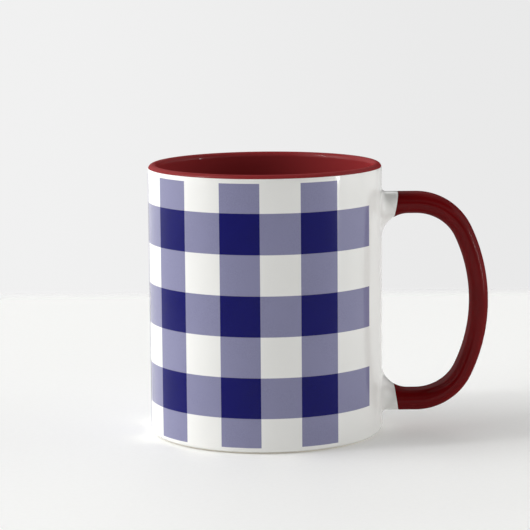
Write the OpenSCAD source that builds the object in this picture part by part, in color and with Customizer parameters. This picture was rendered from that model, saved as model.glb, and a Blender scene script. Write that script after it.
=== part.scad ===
// Straight-sided glazed mug with a loop handle and a check print.
//
// Frame: the origin is on the cup's axis, in the plane that the foot ring stands on.
// +Z is up through the mouth, and the handle points along +X.
// The mug is built up as it is made: a clay cup and a clay handle joined with slip, glaze over
// the clay, and a thin printable coat over the glaze, part of which is dyed.

/* [Cup] */
// Diameter over the printed wall
cup_d = 82; // [81.6:0.1:84]
// Height from the foot to the crown of the lip
cup_h = 95.3; // [94.3:0.1:110]
// Thickness of the clay wall at the mouth
wall = 2.9; // [2.4:0.1:4]
// Extra thickness of the wall where it meets the floor
wall_taper = 1.4; // [0:0.1:3]
// Length of the straight bore below the lip
bore_length = 23.5; // [10:0.25:40]
// Height of the clay floor inside, above the foot
floor_z = 6.4; // [4.5:0.1:9]
// Radius between the floor and the wall inside
floor_corner = 8; // [3:0.5:14]

/* [Foot] */
// Radius of the outer bottom edge
edge_r = 1.1; // [0.6:0.1:2]
// Outer radius of the bare foot ring
foot_outer_r = 39.3; // [36.5:0.1:39.3]
// Width of the face that the foot ring stands on
foot_width = 3.2; // [2:0.1:5]
// Depth of the hollow under the floor
recess_depth = 2.2; // [1.6:0.1:3]

/* [Glaze and coat] */
// Thickness of every glaze layer
glaze_t = 0.3; // [0.2:0.05:0.4]
// Thickness of the printable coat
coat_t = 0.1; // [0.08:0.01:0.2]
// Depth from the crown of the lip to the line between the two glazes
lip_line_depth = 1.27; // [0.4:0.01:1.6]

/* [Handle] */
// Height of the middle of the handle's upper arm
arm_top_z = 81; // [72:0.1:84]
// Height of the middle of the handle's lower arm
arm_bottom_z = 10.8; // [8:0.1:18]
// Distance from the cup's axis to the middle of the handle's back
reach = 75.1; // [72:0.1:80]
// Distance from the cup's axis to where the arms start to bend
bend_x = 52.9; // [52:0.1:54]
// Radius of the two bends, along the middle of the handle
bend_r = 18.5; // [14:0.1:19]
// Width of the glazed handle, across the loop
grip_width = 12.6; // [9:0.1:16]
// Thickness of the glazed arms, in the plane of the loop
arm_depth = 7.6; // [6:0.1:9]
// Thickness of the glazed handle in the middle of its back
back_depth = 6.6; // [6:0.1:9]
// Squareness of the handle's oval section, where 2 is an ellipse
oval_power = 2.4; // [2:0.1:3]

/* [Handle joints] */
// Length of the fillet along an arm, on the side of the finger gap
finger_fillet = 9.5; // [3:0.1:10]
// Height of the same fillet on the wall
finger_fillet_rise = 8.5; // [3:0.1:10]
// Fillet on the other side of each arm
outer_fillet = 1.5; // [0.8:0.1:3]
// Distance from the cup's axis to the end of the clay handle
joint_x = 44; // [43:0.1:45]
// Distance from the cup's axis to the line between the two glazes, in the middle of an arm
sleeve_x = 46; // [45.8:0.1:49]
// Lean of that line away from the cup, on the outside of the loop
sleeve_lean = 8.6; // [0:0.1:12]

/* [Print] */
// Size of one check
check = 14; // [12:0.1:15]
// Height of the print's lower edge above the foot
print_bottom = 2.3; // [2:0.1:3]
// Height of the print
print_h = 90.2; // [84:0.1:90.8]
// Angle between the middle of the handle and each end of the print
print_gap = 29.6; // [22:0.1:35]
// Distance from one end of the print to the first column
first_column = 17.1; // [12:0.1:20]
// Number of columns
columns = 7; // [5:1:7]
// Number of bands
bands = 3; // [1:1:3]

/* [Hidden] */

$fn = 96;
arc_steps = 10;
oval_sides = 36;
fillet_steps = 8;
bend_steps = 12;
back_steps = 12;

bisque = "#e9e4da";
slip = "#ded8cc";
white = "#fbfbf8";
maroon = "#5c0d12";
coat_white = "#f6f6f2";
navy = "#17134f";
half_navy = "#8a88b4";

// Radii of the nested surfaces of the wall, from outside in
coat_r = cup_d / 2;
glaze_r = coat_r - coat_t;
clay_r = glaze_r - glaze_t;
mouth_r = clay_r - wall;
base_r = mouth_r - wall_taper;

// The lip is a full round on the clay wall
lip_r = wall / 2;
lip_c = [clay_r - lip_r, cup_h - glaze_t - lip_r];
lip_line = asin((lip_r + glaze_t - lip_line_depth) / (lip_r + glaze_t));
bore_z = lip_c.y - bore_length;
// The clay narrows by this much down the bore, and the glaze fills it to a true cylinder
clay_draft = 0.05;

// The glaze stops short of the foot, part of the way round the bottom edge
edge_z = 1.9;
edge_c = [clay_r - edge_r, edge_z];
glaze_stop = 75;
foot_round = 0.4;
foot_inner_r = foot_outer_r - foot_width;
recess_r = foot_inner_r - 0.9;
recess_corner = 1.2;
underside_stop = 20;

// The handle's back is one arc that meets both bends without a kink
arm_mid_z = (arm_top_z + arm_bottom_z) / 2;
arm_rise = (arm_top_z - arm_bottom_z) / 2;
back_out = reach - bend_x;
back_r = (pow(back_out, 2) + pow(arm_rise, 2) - 2 * arm_rise * bend_r) / (2 * (back_out - bend_r));
back_x = reach - back_r;
back_half_angle = atan2(arm_rise - bend_r, bend_x - back_x);

// A fillet ends in a low rim, which stands on the wall
fillet_rim = 0.15;
// A root's shapes end here, on the straight arm past the fillets and past the leaning glaze line
arm_x = max(sleeve_x, glaze_r + fillet_rim + finger_fillet) + 1.2;
// Room round a cutting shape, so that no two faces of a cut coincide
clear = 1;
// Size of a cube that holds either root of the handle
block = 40;

print_top = print_bottom + print_h;
print_mid = print_bottom + print_h / 2;
pitch = 2 * check;

// ---- Outlines ----

function arc(centre, radius, from, to) =
    [for (i = [0 : arc_steps])
        let (a = from + (to - from) * i / arc_steps)
        centre + radius * [cos(a), sin(a)]];

function reversed(points) = [for (i = [len(points) - 1 : -1 : 0]) points[i]];

// The cup's surface inside, from the axis up to the lip, grown by the thickness g
function inside_path(g, lip_end, draft = 0) = concat(
    [[0, floor_z + g]],
    arc([base_r - floor_corner, floor_z + floor_corner], floor_corner - g, -90, 0),
    [[mouth_r - g - draft, bore_z]],
    arc(lip_c, lip_r + g, 180, lip_end));

// The cup's surface outside, from the lip down to the bottom edge
function outside_path(g, lip_start, edge_end) = concat(
    arc(lip_c, lip_r + g, lip_start, 0),
    arc(edge_c, edge_r + g, 0, -edge_end));

// The hollow under the floor, from the foot ring in to the axis
function underside_path(g, corner_start) = concat(
    arc([recess_r - recess_corner, recess_depth - recess_corner], recess_corner - g, corner_start, 90),
    [[0, recess_depth - g]]);

// The bare ring that the mug stands on, from outside in
foot_path = concat(
    arc([foot_outer_r - foot_round, foot_round], foot_round, 0, -90),
    arc([foot_inner_r + foot_round, foot_round], foot_round, -90, -180));

// ---- Handle shapes ----

function signed_power(v, e) = sign(v) * pow(abs(v), e);

// The handle's section: x is thickness in the plane of the loop, y is width across it
function oval_point(a, g, depth) = [
    (depth / 2 - glaze_t + g) * signed_power(sin(a), 2 / oval_power),
    (grip_width / 2 - glaze_t + g) * signed_power(cos(a), 2 / oval_power)];

// A section of the loop where its outward normal is at an angle, from 90 at the upper arm
// to -90 at the lower
function loop_ring(normal, g) =
    let (on_back = abs(normal) < back_half_angle,
         centre = on_back
            ? [back_x, arm_mid_z]
            : [bend_x, arm_mid_z + sign(normal) * (arm_rise - bend_r)],
         radius = on_back ? back_r : bend_r,
         depth = back_depth + (arm_depth - back_depth) * pow(sin(normal), 2))
    [for (i = [0 : oval_sides - 1])
        let (p = oval_point(360 * i / oval_sides, g, depth))
        [centre.x + (radius + p.x) * cos(normal), p.y, centre.y + (radius + p.x) * sin(normal)]];

loop_normals = [
    each [for (k = [0 : bend_steps - 1]) 90 - (90 - back_half_angle) * k / bend_steps],
    each [for (k = [0 : back_steps]) back_half_angle * (1 - 2 * k / back_steps)],
    each [for (k = [1 : bend_steps]) -back_half_angle - (90 - back_half_angle) * k / bend_steps]];

// Share of the finger side's fillet at an angle round the section, where 90 is outside the loop
function finger_side(a) = pow((1 - sin(a)) / 2, 2);

// One ring of a root, for an arm whose centreline is at z = 0 with the finger gap below.
// t runs from 0 at the arm to 90 at the wall.
function root_ring(wall_r, g, t) =
    [for (i = [0 : oval_sides - 1])
        let (a = 360 * i / oval_sides,
             p = oval_point(a, g, arm_depth),
             run = outer_fillet + (finger_fillet - outer_fillet) * finger_side(a),
             rise = outer_fillet + (finger_fillet_rise - outer_fillet) * finger_side(a),
             spread = rise * (1 - cos(t)),
             y = p.y + spread * cos(a))
        [sqrt(wall_r * wall_r - y * y) + fillet_rim + run * (1 - sin(t)), y, p.x + spread * sin(a)]];

function flat_ring(ring, x) = [for (p = ring) [x, p.y, p.z]];

// The rings of a root, from one inside the wall out to the straight arm
function root_rings(wall_r, g) =
    let (fillet = [for (k = [0 : fillet_steps]) root_ring(wall_r, g, 90 * (1 - k / fillet_steps))])
    concat([flat_ring(fillet[0], wall_r - 3)], fillet);

// A solid through rings that all have the same number of points
module skin(rings) {
    n = len(rings[0]);
    last = len(rings) - 1;
    sides = [for (k = [0 : last - 1], i = [0 : n - 1])
        let (j = (i + 1) % n)
        [k * n + i, (k + 1) * n + i, (k + 1) * n + j, k * n + j]];
    start_cap = [for (i = [0 : n - 1]) i];
    end_cap = [for (i = [n - 1 : -1 : 0]) last * n + i];
    polyhedron([for (r = rings) each r], concat(sides, [start_cap, end_cap]));
}

// A root with its arm up to end_x
module root(wall_r, g, end_x) {
    rings = root_rings(wall_r, g);
    skin(concat(rings, [flat_ring(rings[len(rings) - 1], end_x)]));
}

// The whole handle, from inside the wall round the loop and back
module handle(wall_r, g) {
    rings = root_rings(wall_r, g);
    upper = [for (r = rings) [for (p = r) [p.x, p.y, arm_top_z + p.z]]];
    lower = [for (r = rings) [for (p = r) [p.x, p.y, arm_bottom_z - p.z]]];
    skin(concat(upper, [for (n = loop_normals) loop_ring(n, g)], reversed(lower)));
}

// These put a root's shapes on the upper arm and, as a mirror image, on the lower arm
module on_upper_arm() {
    translate([0, 0, arm_top_z]) children();
}

module on_lower_arm() {
    translate([0, 0, arm_bottom_z]) mirror([0, 0, 1]) children();
}

module on_both_arms() {
    on_upper_arm() children();
    on_lower_arm() children();
}

// Everything on the cup's side of a plane across an arm
module cup_side(x, lean) {
    translate([x, 0, 0]) rotate([0, lean, 0])
        translate([-block, -block / 2, -block / 2]) cube(block);
}

module wall_core(radius) {
    cylinder(r = radius, h = 2 * block, center = true);
}

// ---- Print shapes ----

function along_wall(length) = length / coat_r * 180 / PI;

function column_start(i) = -print_gap - along_wall(first_column + check + i * pitch);

function band_z(i) = print_mid + (i - (bands - 1) / 2) * pitch - check / 2;

// A patch of the coat's layer between two angles and two heights
module patch(from, angle, z0, z1, grow = 0) {
    rotate_extrude(angle = angle, start = from)
        translate([glaze_r - grow, z0]) square([coat_t + 2 * grow, z1 - z0]);
}

// Angles where each gap between columns starts, from the far end of the print round to the near end
function gap_start(i) = i == columns ? print_gap - 360 : column_start(i) + along_wall(check);

function gap_end(i) = i == 0 ? -print_gap : column_start(i - 1);

// Heights where the rows between the bands start and end
function row_start(i) = i == 0 ? print_bottom : band_z(i - 1) + check;

function row_end(i) = i == bands ? print_top : band_z(i);

// ---- Pieces ----

// Clay cup: wall, floor and bare foot ring in one
module cup_body() {
    color(bisque) rotate_extrude() polygon(concat(
        inside_path(0, 90, clay_draft),
        outside_path(0, 90, 90),
        foot_path,
        underside_path(0, 0)));
}

// Clay handle, from joint to joint
module handle_core() {
    color(bisque) difference() {
        handle(clay_r, 0);
        on_both_arms() cup_side(joint_x, 0);
    }
}

// Slip that fastens an arm to the wall, smoothed into the arm's fillet
module luting_joint() {
    color(slip) difference() {
        intersection() {
            root(clay_r, 0, arm_x);
            cup_side(joint_x, 0);
        }
        wall_core(clay_r);
    }
}

module upper_luting_joint() {
    on_upper_arm() luting_joint();
}

module lower_luting_joint() {
    on_lower_arm() luting_joint();
}

// White glaze on the outside of the cup, running out along both arms to the sleeve
module outer_glaze() {
    color(white) {
        rotate_extrude() polygon(concat(
            outside_path(glaze_t, lip_line, glaze_stop),
            reversed(outside_path(0, lip_line, glaze_stop))));
        on_both_arms() difference() {
            intersection() {
                root(glaze_r, glaze_t, arm_x);
                cup_side(sleeve_x, sleeve_lean);
            }
            root(clay_r, 0, arm_x + clear);
            wall_core((clay_r + glaze_r) / 2);
        }
    }
}

// White glaze in the hollow under the floor
module underside_glaze() {
    color(white) rotate_extrude() polygon(concat(
        underside_path(glaze_t, underside_stop),
        reversed(underside_path(0, underside_stop))));
}

// Coloured glaze over the inside and the lip
module liner_glaze() {
    color(maroon) rotate_extrude() polygon(concat(
        inside_path(glaze_t, lip_line),
        reversed(inside_path(0, lip_line, clay_draft))));
}

// Coloured glaze round the handle, between the two glaze lines
module handle_glaze() {
    color(maroon) difference() {
        handle(glaze_r, glaze_t);
        handle(clay_r, 0);
        on_both_arms() cup_side(sleeve_x, sleeve_lean);
    }
}

// Printable coat over the straight wall, where it isn't dyed
module clear_coat() {
    color(coat_white) difference() {
        rotate_extrude() translate([glaze_r, edge_c.y]) square([coat_t, lip_c.y - edge_c.y]);
        for (i = [0 : columns - 1])
            patch(column_start(i), along_wall(check), print_bottom, print_top, clear);
        for (i = [0 : bands - 1])
            patch(print_gap, 360 - 2 * print_gap, band_z(i), band_z(i) + check, clear);
        on_both_arms() root(glaze_r, glaze_t, arm_x);
    }
}

// Dyed checks where a column crosses a band
module print_full_tone() {
    color(navy) for (i = [0 : columns - 1], j = [0 : bands - 1])
        patch(column_start(i), along_wall(check), band_z(j), band_z(j) + check);
}

// Lighter checks of the columns, above, between and below the bands
module print_column_tone() {
    color(half_navy) for (i = [0 : columns - 1], j = [0 : bands])
        patch(column_start(i), along_wall(check), row_start(j), row_end(j));
}

// Lighter checks of the bands, between and beyond the columns
module print_band_tone() {
    color(half_navy) for (i = [0 : columns], j = [0 : bands - 1])
        patch(gap_start(i), gap_end(i) - gap_start(i), band_z(j), band_z(j) + check);
}

cup_body();
handle_core();
upper_luting_joint();
lower_luting_joint();
outer_glaze();
underside_glaze();
liner_glaze();
handle_glaze();
clear_coat();
print_full_tone();
print_column_tone();
print_band_tone();
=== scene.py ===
"""Looks of the two-tone mug: glazes, printable coat, dyed checks, bare clay, and a soft studio."""

import math

import bpy
import numpy as np
from mathutils import Matrix, Vector


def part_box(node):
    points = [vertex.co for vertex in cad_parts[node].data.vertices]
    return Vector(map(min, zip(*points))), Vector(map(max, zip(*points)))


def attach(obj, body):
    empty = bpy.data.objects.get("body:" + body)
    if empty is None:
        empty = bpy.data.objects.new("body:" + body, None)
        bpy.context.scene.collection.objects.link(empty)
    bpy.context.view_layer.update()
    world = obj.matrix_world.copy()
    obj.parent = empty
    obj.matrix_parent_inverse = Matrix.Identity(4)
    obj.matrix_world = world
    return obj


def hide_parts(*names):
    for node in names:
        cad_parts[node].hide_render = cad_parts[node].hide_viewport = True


MM = 0.001

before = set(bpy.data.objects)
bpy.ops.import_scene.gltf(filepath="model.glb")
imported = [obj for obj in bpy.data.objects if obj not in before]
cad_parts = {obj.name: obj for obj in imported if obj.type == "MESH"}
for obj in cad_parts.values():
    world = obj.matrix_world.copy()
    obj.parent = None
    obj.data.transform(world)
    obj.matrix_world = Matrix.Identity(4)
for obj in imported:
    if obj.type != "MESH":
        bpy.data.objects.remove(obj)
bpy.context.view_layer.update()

# ---- Sizes, in metres, with angles in degrees ----

# Some are read off the boxes of the CAD's nodes, and the rest repeat part.scad.

coat_low, coat_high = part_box("clear_coat")
column_low, column_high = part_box("print_column_tone")
full_low, full_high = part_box("print_full_tone")
clay_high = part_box("cup_body")[1]
glaze_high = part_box("outer_glaze")[1]
liner_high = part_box("liner_glaze")[1]

COAT_T = 0.1 * MM
COAT_R = -coat_low.y
GLAZE_R = COAT_R - COAT_T
GLAZE_T = liner_high.z - clay_high.z
CLAY_R = GLAZE_R - GLAZE_T
WALL = 2.9 * MM
WALL_TAPER = 1.4 * MM
MOUTH_R = CLAY_R - WALL
BASE_R = MOUTH_R - WALL_TAPER
FLOOR_Z = 6.4 * MM
FLOOR_CORNER = 8 * MM

LIP_R = WALL / 2
LIP_CENTRE = (CLAY_R - LIP_R, clay_high.z - LIP_R)
LIP_LINE = math.degrees(math.asin((glaze_high.z - LIP_CENTRE[1]) / (LIP_R + GLAZE_T)))
BORE_LENGTH = 23.5 * MM
BORE_Z = LIP_CENTRE[1] - BORE_LENGTH

EDGE_R = 1.1 * MM
EDGE_CENTRE = (CLAY_R - EDGE_R, coat_low.z)
GLAZE_STOP = 75
FOOT_OUTER_R = 39.3 * MM
FOOT_WIDTH = 3.2 * MM
FOOT_INNER_R = FOOT_OUTER_R - FOOT_WIDTH
FOOT_INNER_LEAN = 0.9 * MM
FOOT_ROUND = 0.4 * MM
RECESS_R = FOOT_INNER_R - FOOT_INNER_LEAN
RECESS_DEPTH = 2.2 * MM
RECESS_CORNER = 1.2 * MM
RECESS_CORNER_CENTRE = (RECESS_R - RECESS_CORNER, RECESS_DEPTH - RECESS_CORNER)
UNDERSIDE_STOP = 20

BANDS = 3
COLUMNS = 7
PRINT_BOTTOM = column_low.z
PRINT_TOP = column_high.z
CHECK = (full_high.z - full_low.z) / (2 * BANDS - 1)
PRINT_GAP = 29.6
FIRST_COLUMN = 17.1 * MM

ARM_TOP_Z = 81 * MM
ARM_BOTTOM_Z = 10.8 * MM
REACH = 75.1 * MM
BEND_X = 52.9 * MM
BEND_R = 18.5 * MM
GRIP_WIDTH = 12.6 * MM
ARM_DEPTH = 7.6 * MM
BACK_DEPTH = 6.6 * MM
OVAL_POWER = 2.4
FINGER_FILLET = 9.5 * MM
FINGER_RISE = 8.5 * MM
OUTER_FILLET = 1.5 * MM
SLEEVE_X = 46 * MM
SLEEVE_LEAN = 8.6

ARM_MID_Z = (ARM_TOP_Z + ARM_BOTTOM_Z) / 2
ARM_RISE = (ARM_TOP_Z - ARM_BOTTOM_Z) / 2
BACK_OUT = REACH - BEND_X
BACK_R = (BACK_OUT**2 + ARM_RISE**2 - 2 * ARM_RISE * BEND_R) / (2 * (BACK_OUT - BEND_R))
BACK_X = REACH - BACK_R
BACK_HALF_ANGLE = math.degrees(math.atan2(ARM_RISE - BEND_R, BEND_X - BACK_X))

# ---- Small details that part.scad does without ----

# Where a root's fillet and its arm end, as shares of the way from the wall to the first bend
FILLET_END = 0.8
ARM_END = 0.995
# In the same shares, how far short of the line between them the two glazes start to get thin
MAROON_THINS = 0.006
WHITE_THINS = 0.003
# How thick both are at that line
SHOULDER = 0.7 * GLAZE_T
# How far under the coat's surface the white glaze on a root starts
ROOT_SINK = 2 * COAT_T
# Thickness of the coat at its upper and lower edges
FEATHERED_T = 0.35 * COAT_T

# ---- How finely the meshes are divided ----

STEPS_ROUND = 360
OVAL_SIDES = 96
ARC_STEPS = 16
LIP_STEPS = 32
ROUND_STEPS = 8
LONGEST_STEP = 3 * MM
COAT_STEP = 3.6 * MM
COAT_ANGLE_STEP = 1.0
BEND_RINGS = 41
BACK_RINGS = 49
ARM_RINGS = 15
ROOT_RINGS = 25
HALVINGS = 40

# Edges that turn by more than this stay sharp
SHARP_ANGLE = 35
# Points of a profile that are closer to the axis than this are on it
ON_AXIS = 1e-9


# ---- Mesh helpers ----


def signed_volume(vertices, faces):
    """Volume inside a closed mesh, negative where its faces point inwards."""
    triangles = np.array([(face[0], b, c) for face in faces for b, c in zip(face[1:-1], face[2:])])
    a, b, c = (vertices[triangles[:, k]] for k in range(3))
    return np.einsum("ij,ij->", a, np.cross(b, c)) / 6


def add_object(name, data):
    """A new object in the scene."""
    added = bpy.data.objects.new(name, data)
    bpy.context.scene.collection.objects.link(added)
    return added


def make_object(name, parts):
    """One object from closed (vertices, faces) parts, each turned so that its faces point outwards."""
    all_vertices = []
    all_faces = []
    for vertices, faces in parts:
        if signed_volume(vertices, faces) < 0:
            faces = [face[::-1] for face in faces]
        start = len(all_vertices)
        all_vertices.extend(tuple(v) for v in vertices)
        all_faces.extend(tuple(start + i for i in face) for face in faces)
    mesh = bpy.data.meshes.new(name)
    mesh.from_pydata(all_vertices, [], all_faces)
    mesh.validate()
    mesh.shade_smooth()
    mesh.set_sharp_from_angle(angle=math.radians(SHARP_ANGLE))
    return add_object(name, mesh)


def arc(centre, radius, start, end, steps=ARC_STEPS):
    """Points of an arc in a profile's plane, both ends included."""
    angles = np.radians(np.linspace(start, end, steps + 1))
    return [(centre[0] + radius * math.cos(a), centre[1] + radius * math.sin(a)) for a in angles]


def line(start, end):
    """Points along a line after its start, no further apart than the longest step."""
    steps = max(1, math.ceil(math.dist(start, end) / LONGEST_STEP))
    return [
        (start[0] + (end[0] - start[0]) * k / steps, start[1] + (end[1] - start[1]) * k / steps)
        for k in range(1, steps + 1)
    ]


def revolve(profile):
    """Closed solid of revolution. A profile that starts and ends on the axis gets a pole at each end."""
    has_poles = profile[0][0] < ON_AXIS and profile[-1][0] < ON_AXIS
    angles = np.linspace(0, 2 * math.pi, STEPS_ROUND, endpoint=False)
    vertices = []
    rings = []
    for r, z in profile:
        start = len(vertices)
        if r < ON_AXIS:
            vertices.append((0.0, 0.0, z))
            rings.append([start] * STEPS_ROUND)
        else:
            vertices.extend((r * math.cos(a), r * math.sin(a), z) for a in angles)
            rings.append(list(range(start, start + STEPS_ROUND)))
    pairs = list(zip(rings[:-1], rings[1:]))
    if not has_poles:
        pairs.append((rings[-1], rings[0]))
    return np.array(vertices), band_faces(pairs)


def band_faces(ring_pairs):
    """Quads between pairs of rings, or triangles where one of the rings is a single point."""
    faces = []
    for low, high in ring_pairs:
        for i in range(len(low)):
            j = (i + 1) % len(low)
            corners = [low[i], low[j], high[j], high[i]]
            face = [v for k, v in enumerate(corners) if v != corners[k - 1]]
            if len(face) > 2:
                faces.append(tuple(face))
    return faces


def skin(rings):
    """Closed tube through rings of points, where the last ring joins the first."""
    count = len(rings[0])
    vertices = np.concatenate(rings)
    indexes = [list(range(k * count, (k + 1) * count)) for k in range(len(rings))]
    return vertices, band_faces(list(zip(indexes, indexes[1:] + indexes[:1])))


# ---- Cup profiles, as (radius, height) ----


def inside_path(g, lip_end):
    """The cup's surface inside, from the axis up to the lip, grown by the thickness g."""
    corner = (BASE_R - FLOOR_CORNER, FLOOR_Z + FLOOR_CORNER)
    floor = line((0, FLOOR_Z + g), (corner[0], FLOOR_Z + g))
    corner_points = arc(corner, FLOOR_CORNER - g, -90, 0)
    lip = arc(LIP_CENTRE, LIP_R + g, 180, lip_end, LIP_STEPS)
    wall = line(corner_points[-1], (MOUTH_R - g, BORE_Z))
    bore = line(wall[-1], lip[0])
    return [(0, FLOOR_Z + g)] + floor[:-1] + corner_points + wall + bore[:-1] + lip


def outside_path(g, lip_start, edge_end):
    """The cup's surface outside, from the lip down to the bottom edge, grown by the thickness g."""
    lip = arc(LIP_CENTRE, LIP_R + g, lip_start, 0)
    edge = arc(EDGE_CENTRE, EDGE_R + g, 0, -edge_end)
    return lip + line(lip[-1], edge[0])[:-1] + edge


def underside_path(g, corner_start):
    """The hollow under the floor, from the foot ring in to the axis, grown by the thickness g."""
    bend = arc(RECESS_CORNER_CENTRE, RECESS_CORNER - g, corner_start, 90)
    return bend + line(bend[-1], (0, RECESS_DEPTH - g))


def foot_path():
    """The bare ring that the mug stands on, from outside in."""
    outer = arc((FOOT_OUTER_R - FOOT_ROUND, FOOT_ROUND), FOOT_ROUND, 0, -90, ROUND_STEPS)
    inner = arc((FOOT_INNER_R + FOOT_ROUND, FOOT_ROUND), FOOT_ROUND, -90, -180, ROUND_STEPS)
    return outer + inner


def rounded_end(centre, inner, outer, angle, turn):
    """Half-round end of a layer at an angle of an arc, between the ends of its outer and inner face."""
    middle = (inner + outer) / 2
    a = math.radians(angle)
    end = (centre[0] + middle * math.cos(a), centre[1] + middle * math.sin(a))
    return arc(end, (outer - inner) / 2, angle, angle + turn, ROUND_STEPS)[1:-1]


def make_cup_body():
    return make_object("cup_clay", [revolve(
        inside_path(0, 90)
        + outside_path(0, 90, 90)[1:]
        + foot_path()
        + underside_path(0, 0)
    )])


def make_liner_glaze():
    end = rounded_end(LIP_CENTRE, LIP_R, LIP_R + GLAZE_T, LIP_LINE, -180)
    return make_object("liner_glaze_skin", [revolve(
        inside_path(GLAZE_T, LIP_LINE) + end + inside_path(0, LIP_LINE)[::-1]
    )])


def make_underside_glaze():
    inner = RECESS_CORNER - GLAZE_T
    end = rounded_end(RECESS_CORNER_CENTRE, inner, RECESS_CORNER, UNDERSIDE_STOP, -180)
    return make_object("underside_glaze_skin", [revolve(
        underside_path(0, UNDERSIDE_STOP)[::-1] + end + underside_path(GLAZE_T, UNDERSIDE_STOP)
    )])


# ---- Handle rings. A ring is an array of OVAL_SIDES points ----

RING_ANGLES = np.linspace(0, 2 * math.pi, OVAL_SIDES, endpoint=False)


def oval(g, depth):
    """The handle's section: thickness in the plane of the loop, and width across it."""

    def power(v):
        return np.sign(v) * np.abs(v) ** (2 / OVAL_POWER)

    thick = (depth / 2 - GLAZE_T + g) * power(np.sin(RING_ANGLES))
    wide = (GRIP_WIDTH / 2 - GLAZE_T + g) * power(np.cos(RING_ANGLES))
    return thick, wide


def loop_ring(normal, g):
    """Section of the loop where its outward normal is at an angle.

    The angle is 90 at the upper arm and -90 at the lower.
    """
    if abs(normal) < BACK_HALF_ANGLE:
        centre, radius = (BACK_X, ARM_MID_Z), BACK_R
    else:
        centre, radius = (BEND_X, ARM_MID_Z + math.copysign(ARM_RISE - BEND_R, normal)), BEND_R
    a = math.radians(normal)
    depth = BACK_DEPTH + (ARM_DEPTH - BACK_DEPTH) * math.sin(a) ** 2
    thick, wide = oval(g, depth)
    x = centre[0] + (radius + thick) * math.cos(a)
    z = centre[1] + (radius + thick) * math.sin(a)
    return np.column_stack([x, wide, z])


def root_points(wall_r, g, u):
    """Points of a root, for u from 0 at the wall to 1 at the first bend.

    The arm's centreline is at z = 0.
    """
    thick, wide = oval(g, ARM_DEPTH)
    finger_side = ((1 - np.sin(RING_ANGLES)) / 2) ** 2
    run = OUTER_FILLET + (FINGER_FILLET - OUTER_FILLET) * finger_side
    rise = OUTER_FILLET + (FINGER_RISE - OUTER_FILLET) * finger_side
    t = np.radians(90) * np.clip(1 - u / FILLET_END, 0, 1)
    spread = rise * (1 - np.cos(t))
    y = wide + spread * np.cos(RING_ANGLES)
    z = thick + spread * np.sin(RING_ANGLES)
    x = np.sqrt(wall_r**2 - y**2) + run * (1 - np.sin(t))
    along_arm = np.clip((u - FILLET_END) / (1 - FILLET_END), 0, 1)
    return np.column_stack([x + (BEND_X - x) * along_arm, y, z])


def sleeve_line(wall_r, g):
    """The u of each point of a root where the two glazes meet, found by halving."""
    slope = math.tan(math.radians(SLEEVE_LEAN))
    low = np.zeros(OVAL_SIDES)
    high = np.ones(OVAL_SIDES)
    for _ in range(HALVINGS):
        middle = (low + high) / 2
        points = root_points(wall_r, g, middle)
        before = points[:, 0] - points[:, 2] * slope < SLEEVE_X
        low = np.where(before, middle, low)
        high = np.where(before, high, middle)
    return (low + high) / 2


def on_arm(ring, upper):
    """A root's ring, moved to the upper arm or mirrored onto the lower arm."""
    height = ARM_TOP_Z + ring[:, 2] if upper else ARM_BOTTOM_Z - ring[:, 2]
    return np.column_stack([ring[:, 0], ring[:, 1], height])


def make_handle_glaze():
    """A closed shell round the handle, with a bevel on both of its ends."""
    bends = np.linspace(90, BACK_HALF_ANGLE, BEND_RINGS)
    back = np.linspace(BACK_HALF_ANGLE, -BACK_HALF_ANGLE, BACK_RINGS)
    normals = np.concatenate([bends[:-1], back, -bends[:-1][::-1]])

    def layer(g, wall_r, clear):
        cut = sleeve_line(wall_r, g)
        arm = [
            root_points(wall_r, g, cut + (ARM_END - cut) * s + clear * (1 - s))
            for s in np.linspace(0, 1, ARM_RINGS)
        ]
        upper = [on_arm(ring, True) for ring in arm]
        lower = [on_arm(ring, False) for ring in arm[::-1]]
        return upper + [loop_ring(n, g) for n in normals] + lower

    inner = layer(0, CLAY_R, 0.0)
    shoulder = layer(SHOULDER, COAT_R, 0.0)
    outer = layer(GLAZE_T, COAT_R, MAROON_THINS)
    rings = [shoulder[0]] + outer + [shoulder[-1]] + inner[::-1]
    return make_object("handle_glaze_skin", [skin(rings)])


def root_collar(upper):
    """White glaze on a root, from under the coat's surface out to the handle's glaze."""
    outer_cut = sleeve_line(COAT_R, GLAZE_T)
    inner_cut = sleeve_line(CLAY_R, 0)
    steps = np.linspace(0, 1, ROOT_RINGS)
    outer = [root_points(COAT_R, GLAZE_T, (outer_cut - WHITE_THINS) * s) for s in steps]
    shoulder = root_points(COAT_R, SHOULDER, outer_cut)
    sunk = outer[0].copy()
    sunk[:, 0] -= ROOT_SINK
    inner = [root_points(CLAY_R, 0, inner_cut * s) for s in steps]
    rings = [sunk] + outer + [shoulder] + inner[::-1]
    return skin([on_arm(ring, upper) for ring in rings])


def make_outer_glaze():
    """White glaze outside the cup, and on both roots of the handle."""
    top = rounded_end(LIP_CENTRE, LIP_R, LIP_R + GLAZE_T, LIP_LINE, 180)
    bottom = rounded_end(EDGE_CENTRE, EDGE_R, EDGE_R + GLAZE_T, -GLAZE_STOP, -180)
    sleeve = revolve(
        outside_path(GLAZE_T, LIP_LINE, GLAZE_STOP)
        + bottom
        + outside_path(0, LIP_LINE, GLAZE_STOP)[::-1]
        + top[::-1]
    )
    return make_object("outer_glaze_skin", [sleeve, root_collar(True), root_collar(False)])


# ---- The printable coat and the print, cut from one grid so that their edges meet ----


def subdivided(breaks, longest):
    """Grid lines through all the breaks, and for each grid cell the index of its interval."""
    lines = [breaks[0]]
    owners = []
    for k, (a, b) in enumerate(zip(breaks[:-1], breaks[1:])):
        steps = max(1, math.ceil((b - a) / longest))
        lines.extend(a + (b - a) * i / steps for i in range(1, steps + 1))
        owners.extend([k] * steps)
    return lines, owners


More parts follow.
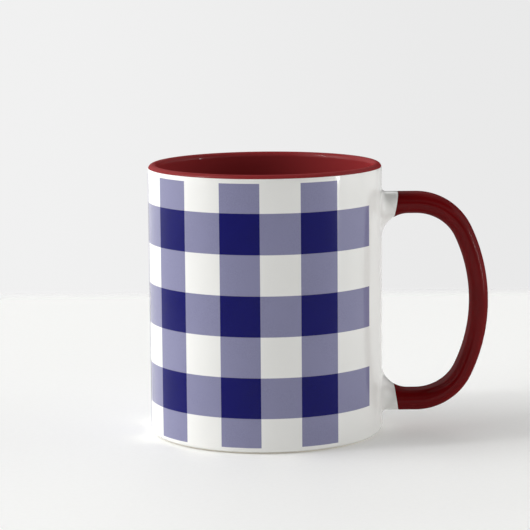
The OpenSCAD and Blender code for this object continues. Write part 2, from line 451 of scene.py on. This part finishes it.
def coat_grid():
    """Angles in degrees, heights in metres, and the kind of each cell: (in a column, in a band)."""
    to_degrees = math.degrees(1 / COAT_R)
    print_end = PRINT_GAP - 360
    angle_breaks = [-PRINT_GAP]
    for i in range(COLUMNS):
        near = FIRST_COLUMN + i * 2 * CHECK
        angle_breaks += [-PRINT_GAP - near * to_degrees, -PRINT_GAP - (near + CHECK) * to_degrees]
    angle_breaks = [print_end] + angle_breaks[::-1] + [PRINT_GAP]
    middle = (PRINT_BOTTOM + PRINT_TOP) / 2
    first_band = middle - (BANDS - 0.5) * CHECK
    height_breaks = [coat_low.z, PRINT_BOTTOM]
    height_breaks += [first_band + k * CHECK for k in range(2 * BANDS)]
    height_breaks += [PRINT_TOP, coat_high.z]
    angles, angle_owner = subdivided(angle_breaks, COAT_ANGLE_STEP)
    heights, height_owner = subdivided(height_breaks, COAT_STEP)
    kinds = {}
    for i, a in enumerate(angle_owner):
        for j, h in enumerate(height_owner):
            in_print = a < len(angle_breaks) - 2 and 0 < h < len(height_breaks) - 2
            in_column = in_print and a % 2 == 1
            in_band = in_print and h % 2 == 0
            kinds[i, j] = (in_column, in_band)
    return angles, heights, kinds


def make_coat_piece(name, grid, kind):
    """A closed layer over all the grid cells of one kind."""
    angles, heights, kinds = grid
    columns = len(angles) - 1
    edge_heights = (heights[0], heights[-1])
    vertices = []
    numbers = {}

    def vertex(i, j, outside):
        key = (i % columns, j, outside)
        if key not in numbers:
            radius = GLAZE_R
            if outside:
                radius += FEATHERED_T if heights[j] in edge_heights else COAT_T
            a = math.radians(angles[key[0]])
            numbers[key] = len(vertices)
            vertices.append((radius * math.cos(a), radius * math.sin(a), heights[j]))
        return numbers[key]

    faces = []
    for (i, j), cell in kinds.items():
        if cell != kind:
            continue
        corners = [(i, j), (i + 1, j), (i + 1, j + 1), (i, j + 1)]
        outer = [vertex(*corner, True) for corner in corners]
        inner = [vertex(*corner, False) for corner in corners]
        faces.append(tuple(outer))
        faces.append(tuple(inner[::-1]))
        neighbours = [(i, j - 1), ((i + 1) % columns, j), (i, j + 1), ((i - 1) % columns, j)]
        for k, neighbour in enumerate(neighbours):
            if kinds.get(neighbour) != kind:
                n = (k + 1) % 4
                faces.append((outer[n], outer[k], inner[k], inner[n]))
    return make_object(name, [(np.array(vertices), faces)])


# ---- Materials ----

# A Mix node has sockets for values of several kinds. These are its sockets for colours.
MIX_FIRST = 6
MIX_SECOND = 7
MIX_RESULT = 2


class NodeTree:
    """A node tree, with short calls for the nodes used here. Values are sockets, numbers or colours."""

    def __init__(self, tree):
        self.tree = tree

    def node(self, kind):
        return self.tree.nodes.new("ShaderNode" + kind)

    def set(self, socket, value):
        if isinstance(value, bpy.types.NodeSocket):
            self.tree.links.new(value, socket)
        elif isinstance(value, tuple):
            socket.default_value = (*value, 1)
        else:
            socket.default_value = value

    def math(self, operation, *values):
        node = self.node("Math")
        node.operation = operation
        for socket, value in zip(node.inputs, values):
            self.set(socket, value)
        return node.outputs[0]

    def ramp(self, value, low, high, to_low=0.0, to_high=1.0):
        """A value moved from one range to another and held inside it, with soft ends."""
        node = self.node("MapRange")
        node.interpolation_type = "SMOOTHSTEP"
        limits = {"From Min": low, "From Max": high, "To Min": to_low, "To Max": to_high}
        for socket, limit in limits.items():
            node.inputs[socket].default_value = limit
        self.set(node.inputs["Value"], value)
        return node.outputs["Result"]

    def mix(self, share, first, second):
        node = self.node("Mix")
        node.data_type = "RGBA"
        self.set(node.inputs["Factor"], share)
        self.set(node.inputs[MIX_FIRST], first)
        self.set(node.inputs[MIX_SECOND], second)
        return node.outputs[MIX_RESULT]

    def axes(self, vector):
        node = self.node("SeparateXYZ")
        self.set(node.inputs[0], vector)
        return node.outputs


# Nearly all noise is between these
NOISE_RANGE = (0.3, 0.7)


class Surface(NodeTree):
    """A new material, painted by place on the object, in metres."""

    def __init__(self, name):
        self.material = bpy.data.materials.new(name)
        self.material.use_nodes = True
        super().__init__(self.material.node_tree)
        self.shader = self.tree.nodes["Principled BSDF"]
        self.place = self.node("TexCoord").outputs["Object"]

    def shade(self, **values):
        """Sets the shader's inputs, whose names are given with _ for each space."""
        for name, value in values.items():
            self.set(self.shader.inputs[name.replace("_", " ")], value)

    def noise(self, scale, detail, roughness=0.5):
        """Noise about 0.5. The scale is in blobs per metre."""
        node = self.node("TexNoise")
        node.inputs["Scale"].default_value = scale
        node.inputs["Detail"].default_value = detail
        node.inputs["Roughness"].default_value = roughness
        self.set(node.inputs["Vector"], self.place)
        return node.outputs["Fac"]

    def clouds(self, scale, detail, to_low=0.0, to_high=1.0):
        """The same noise, spread over a given range."""
        return self.ramp(self.noise(scale, detail), *NOISE_RANGE, to_low, to_high)

    def speckle(self, scale, size):
        """1 in the middle of scattered dots, falling to 0 at their edge.

        The scale is in dots per metre, and the size is a share of the space between them.
        """
        node = self.node("TexVoronoi")
        node.inputs["Scale"].default_value = scale
        self.set(node.inputs["Vector"], self.place)
        return self.ramp(node.outputs["Distance"], size, 0.0)

    def bump(self, *layers):
        """Stacked bumps, each (height socket, distance in metres)."""
        normal = None
        for height, distance in layers:
            node = self.node("Bump")
            node.inputs["Distance"].default_value = distance
            self.set(node.inputs["Height"], height)
            if normal is not None:
                self.set(node.inputs["Normal"], normal)
            normal = node.outputs["Normal"]
        self.shade(Normal=normal)


def shaded(colour, factor):
    return tuple(channel * factor for channel in colour)


# The clear skin over a shining glaze
SKIN_ROUGHNESS = 0.06
SKIN_INDEX = 2.5
# How far a glaze's roughness goes up and down
ROUGHNESS_SPREAD = 0.02
# How dark bare clay is in a stain and in a speck, as shares of its colour
STAIN = 0.88
SPECK = 0.45


def glaze_material(name, colour, lit_colour, variation, roughness, gloss, shine):
    """Fired glaze: slow changes of depth, faint waves, a few tiny pinholes, and painted light, a lighter
    colour, on the cup.

    Gloss is the strength of the glaze's own reflection, and shine that of a clear skin over it. The
    skin's high index keeps edges that are seen at a slant from turning pale.
    """
    glaze = Surface(name)
    depth = glaze.clouds(scale=45, detail=4)
    body = glaze.mix(depth, shaded(colour, 1 - variation), shaded(colour, 1 + variation))
    # The handle is all that is further along X than the wall. The cup takes the second colour, which for
    # the maroon is painted light: a lighter copy of the glaze.
    in_cup = glaze.ramp(glaze.axes(glaze.place)["X"], COAT_R, CLAY_R)
    waves = glaze.noise(scale=70, detail=2)
    ripples = glaze.noise(scale=900, detail=2)
    pinholes = glaze.speckle(scale=260, size=0.05)
    glaze.shade(
        Base_Color=glaze.mix(in_cup, body, lit_colour),
        Roughness=glaze.clouds(160, 3, roughness - ROUGHNESS_SPREAD, roughness + ROUGHNESS_SPREAD),
        Specular_IOR_Level=gloss,
        Coat_Weight=shine,
        Coat_Roughness=SKIN_ROUGHNESS,
        Coat_IOR=SKIN_INDEX,
    )
    glaze.bump((waves, 0.03 * MM), (ripples, 0.0012 * MM), (pinholes, -0.004 * MM))
    return glaze.material


def coat_material(name, colour, mottle, gloss):
    """Thin polyester coat, with the dye's fine mottling where it is dyed."""
    coat = Surface(name)
    fine = coat.ramp(coat.noise(scale=2600, detail=2), 0.35, 0.65)
    grain = coat.mix(fine, shaded(colour, 1 - mottle), shaded(colour, 1 + mottle))
    patches = coat.clouds(scale=120, detail=4)
    waves = coat.noise(scale=70, detail=2)
    ripples = coat.noise(scale=1100, detail=2)
    coat.shade(
        Base_Color=coat.mix(patches, grain, shaded(colour, 1 + mottle / 2)),
        Roughness=coat.clouds(220, 3, 0.1, 0.15),
        Specular_IOR_Level=gloss,
    )
    coat.bump((waves, 0.03 * MM), (ripples, 0.0014 * MM))
    return coat.material


def clay_material(name, colour, grit):
    """Bare fired clay: faint stains, dark specks, and grit and pores of the given depth."""
    clay = Surface(name)
    stains = clay.ramp(clay.noise(scale=60, detail=5), 0.3, 0.75)
    stained = clay.mix(stains, colour, shaded(colour, STAIN))
    specks = clay.speckle(scale=900, size=0.12)
    grains = clay.noise(scale=3200, detail=4, roughness=0.65)
    pores = clay.speckle(scale=1400, size=0.2)
    clay.shade(
        Base_Color=clay.mix(specks, stained, shaded(colour, SPECK)),
        Roughness=clay.clouds(1500, 3, 0.72, 0.92),
    )
    clay.bump((grains, grit), (pores, -2 * grit))
    return clay.material


WHITE = (0.86, 0.858, 0.832)
MAROON = (0.131, 0.004, 0.005)
# The maroon on the cup, inside and over the lip, painted lighter than the handle's: painted light
LIT_MAROON = (0.255, 0.027, 0.029)
NAVY = (0.003, 0.003, 0.113)
HALF_NAVY = (0.225, 0.225, 0.366)
BISQUE = (0.78, 0.73, 0.64)
SLIP = (0.72, 0.68, 0.6)

materials = {
    "white_glaze": glaze_material(
        "white_glaze", WHITE, WHITE, variation=0.01, roughness=0.07, gloss=0.5, shine=0.0
    ),
    "maroon_glaze": glaze_material(
        "maroon_glaze", MAROON, LIT_MAROON, variation=0.12, roughness=0.3, gloss=0.0, shine=0.05
    ),
    "print_coat": coat_material("print_coat", WHITE, mottle=0.006, gloss=0.5),
    "navy_print": coat_material("navy_print", NAVY, mottle=0.12, gloss=0.15),
    "half_navy_print": coat_material("half_navy_print", HALF_NAVY, mottle=0.05, gloss=0.45),
    "bisque": clay_material("bisque", BISQUE, grit=0.02 * MM),
    "slip": clay_material("slip", SLIP, grit=0.012 * MM),
}


# ---- Pieces ----


def place(piece, node, slot):
    """Puts a finished piece in the place of a CAD node, with its material."""
    piece.data.materials.append(materials[slot])
    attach(piece, "root")
    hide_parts(node)


place(make_cup_body(), "cup_body", "bisque")
place(make_liner_glaze(), "liner_glaze", "maroon_glaze")
place(make_outer_glaze(), "outer_glaze", "white_glaze")
place(make_underside_glaze(), "underside_glaze", "white_glaze")
place(make_handle_glaze(), "handle_glaze", "maroon_glaze")

COAT_GRID = coat_grid()
COAT_PIECES = (
    ("coat_clear", (False, False), "clear_coat", "print_coat"),
    ("coat_full_tone", (True, True), "print_full_tone", "navy_print"),
    ("coat_column_tone", (True, False), "print_column_tone", "half_navy_print"),
    ("coat_band_tone", (False, True), "print_band_tone", "half_navy_print"),
)
for name, kind, node, slot in COAT_PIECES:
    place(make_coat_piece(name, COAT_GRID, kind), node, slot)

# These pieces under the glaze keep the CAD's own meshes
for node, slot in (
    ("handle_core", "bisque"),
    ("upper_luting_joint", "slip"),
    ("lower_luting_joint", "slip"),
):
    cad_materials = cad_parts[node].data.materials
    cad_materials.clear()
    cad_materials.append(materials[slot])


# ---- Floor ----

# Distances from the middle between which the floor fades out
FLOOR_FADE = (0.288, 0.316)
FLOOR_COLOUR = (0.8, 0.8, 0.785)
FLOOR_FLECKS = shaded(FLOOR_COLOUR, 1.02)
# A little light of its own keeps the shadows soft
FLOOR_GLOW = (1, 1, 0.985)
FLOOR_GLOW_STRENGTH = 0.158


def make_floor():
    """A pale square table top that fades out at its edges, and is clear from below."""
    half = FLOOR_FADE[1]
    corners = [(-half, -half, 0), (half, -half, 0), (half, half, 0), (-half, half, 0)]
    mesh = bpy.data.meshes.new("floor")
    mesh.from_pydata(corners, [], [(0, 1, 2, 3)])
    floor = add_object("floor", mesh)
    table = Surface("floor")
    where = table.axes(table.place)
    across = table.math("ABSOLUTE", where["X"])
    away = table.math("ABSOLUTE", where["Y"])
    from_middle = table.math("MAXIMUM", across, away)
    from_below = table.node("NewGeometry").outputs["Backfacing"]
    table.shade(
        Base_Color=table.mix(table.clouds(scale=600, detail=4), FLOOR_COLOUR, FLOOR_FLECKS),
        Roughness=0.6,
        Specular_IOR_Level=0.2,
        Emission_Color=FLOOR_GLOW,
        Emission_Strength=FLOOR_GLOW_STRENGTH,
        Alpha=table.math("SUBTRACT", table.ramp(from_middle, *FLOOR_FADE, 1, 0), from_below),
    )
    mesh.materials.append(table.material)


make_floor()


# ---- Studio light ----

# Rings of soft light round the mug, each from a low to a high elevation in degrees. A ring's
# strengths are at equal steps of azimuth from -180, the mug's left, through -90, the camera's
# side, and 0, the handle's side, to 90, behind the mug. The lowest ring starts past straight
# down, so that its soft edge stays out of the light.
#
# These strengths are not a design. They were worked out by least squares from the reference's tones.
# They were then rounded, and more than a third were changed. They are no example to follow: a few
# soft lights that are placed by hand should take their place.
LIGHT_RINGS = (
    (-100, -5, (0.85,)),
    (-5, 15, (2.6, 1.9, 0.5, 0, 0, 0, 0.2, 0.7, 1.6, 2.6, 1.0, 1.1, 0.25, 0, 1.2, 1.8, 1.6, 1.7)),
    (15, 42, (5.2, 2.2, 0, 0.3, 0.5, 0.7, 1.4, 1.05, 0.4, 1.35, 1.9, 1.65)),
    (42, 70, (2.4, 0, 0, 0, 0.5, 0)),
)
# A ramp of colours holds no number over 1, so it holds the strengths as shares of this one.
BRIGHTEST = 6.0

# Narrow upright strips of light: (azimuth, half width, lowest and highest elevation, strength),
# with the first four in degrees.
LIGHT_STRIPS = (
    (-14.5, 1.4, -4, 15, 22.0),
    (-166, 3, 30, 50, 18.0),
)
# Share of its half width over which a strip's sides are blended, to either side of its edge.
STRIP_BLEND = 0.4
# Degrees over which rings and strips are blended, above and below their lowest and highest elevation.
RING_BLEND = 5

# The backdrop's tones, and the X of a unit line of sight where each is reached, minus on the
# left and plus on the right.
BACKDROP_LEFT = (0.878, 0.878, 0.878)
BACKDROP_RIGHT = (0.82, 0.82, 0.82)
BACKDROP_ASIDE = 0.11


class Sky(NodeTree):
    """The world, lit by direction. The turn runs from 0 to 1 for an azimuth from -180 to 180."""

    def __init__(self, world):
        world.use_nodes = True
        super().__init__(world.node_tree)
        direction = self.axes(self.node("TexCoord").outputs["Generated"])
        self.across = direction["X"]
        azimuth = self.math("ARCTAN2", direction["Y"], self.across)
        self.turn = self.math("MULTIPLY_ADD", azimuth, 1 / (2 * math.pi), 0.5)
        self.elevation = self.math("ARCSINE", direction["Z"])

    def between(self, low, high):
        """1 between two elevations in degrees, with soft edges."""
        above = self.ramp(self.elevation, math.radians(low - RING_BLEND), math.radians(low + RING_BLEND))
        below = self.ramp(self.elevation, math.radians(high + RING_BLEND), math.radians(high - RING_BLEND))
        return self.math("MULTIPLY", above, below)

    def ring(self, low, high, strengths):
        """Light of a ring, eased from each of its azimuths to the next."""
        node = self.node("ValToRGB")
        node.color_ramp.interpolation = "EASE"
        stops = node.color_ramp.elements
        for k in range(1, len(strengths)):
            stops.new(k / len(strengths))
        for stop, strength in zip(stops, strengths + strengths[:1]):
            stop.color = (strength / BRIGHTEST,) * 3 + (1,)
        self.set(node.inputs["Fac"], self.turn)
        light = self.math("MULTIPLY", node.outputs["Color"], BRIGHTEST)
        return self.math("MULTIPLY", light, self.between(low, high))

    def strip(self, azimuth, half_width, low, high, strength):
        """Light of a strip, with soft sides."""
        aside = self.math("ABSOLUTE", self.math("SUBTRACT", self.turn, azimuth / 360 + 0.5))
        dark = (1 + STRIP_BLEND) * half_width / 360
        bright = (1 - STRIP_BLEND) * half_width / 360
        across = self.ramp(aside, dark, bright, 0, strength)
        return self.math("MULTIPLY", across, self.between(low, high))


def make_world():
    """Rings and strips of light for the mug, and an even backdrop for the camera."""
    world = bpy.data.worlds.new("studio")
    bpy.context.scene.world = world
    sky = Sky(world)
    light = 0.0
    for ring in LIGHT_RINGS:
        light = sky.math("ADD", light, sky.ring(*ring))
    for strip in LIGHT_STRIPS:
        light = sky.math("ADD", light, sky.strip(*strip))
    studio = sky.node("Background")
    sky.set(studio.inputs["Color"], (1, 1, 1))
    sky.set(studio.inputs["Strength"], light)
    backdrop = sky.node("Background")
    to_right = sky.ramp(sky.across, -BACKDROP_ASIDE, BACKDROP_ASIDE)
    shade = sky.mix(to_right, BACKDROP_LEFT, BACKDROP_RIGHT)
    sky.set(backdrop.inputs["Color"], shade)
    seen = sky.node("MixShader")
    sky.set(seen.inputs["Fac"], sky.node("LightPath").outputs["Is Camera Ray"])
    sky.set(seen.inputs[1], studio.outputs[0])
    sky.set(seen.inputs[2], backdrop.outputs[0])
    sky.set(sky.tree.nodes["World Output"].inputs["Surface"], seen.outputs[0])


make_world()


# ---- Camera ----

CAMERA_PLACE = Vector((0, -0.8323, 0.1829))
CAMERA_DOWN = math.radians(8.464)
CAMERA_TURN = math.radians(-0.013)
CAMERA_ROLL = math.radians(-0.503)
# The lens and the sensor's width are in millimetres, and how far the camera sees is in metres
CAMERA_LENS = 162.14
CAMERA_SENSOR = 36
CAMERA_SIGHT = 20


def make_camera():
    """The camera, aimed by how far it tilts down, turns to the right and rolls."""
    camera = bpy.data.cameras.new("camera")
    camera.lens = CAMERA_LENS
    camera.sensor_width = CAMERA_SENSOR
    camera.clip_end = CAMERA_SIGHT
    camera_object = add_object("camera", camera)
    forward = Vector((
        math.sin(CAMERA_TURN) * math.cos(CAMERA_DOWN),
        math.cos(CAMERA_TURN) * math.cos(CAMERA_DOWN),
        -math.sin(CAMERA_DOWN),
    ))
    right = Vector((math.cos(CAMERA_TURN), -math.sin(CAMERA_TURN), 0))
    up = right.cross(forward)
    rolled_right = math.cos(CAMERA_ROLL) * right + math.sin(CAMERA_ROLL) * up
    rolled_up = -math.sin(CAMERA_ROLL) * right + math.cos(CAMERA_ROLL) * up
    axes = Matrix((rolled_right, rolled_up, -forward)).transposed().to_4x4()
    camera_object.matrix_world = Matrix.Translation(CAMERA_PLACE) @ axes
    bpy.context.scene.camera = camera_object


make_camera()
bpy.context.scene.view_settings.view_transform = "Standard"
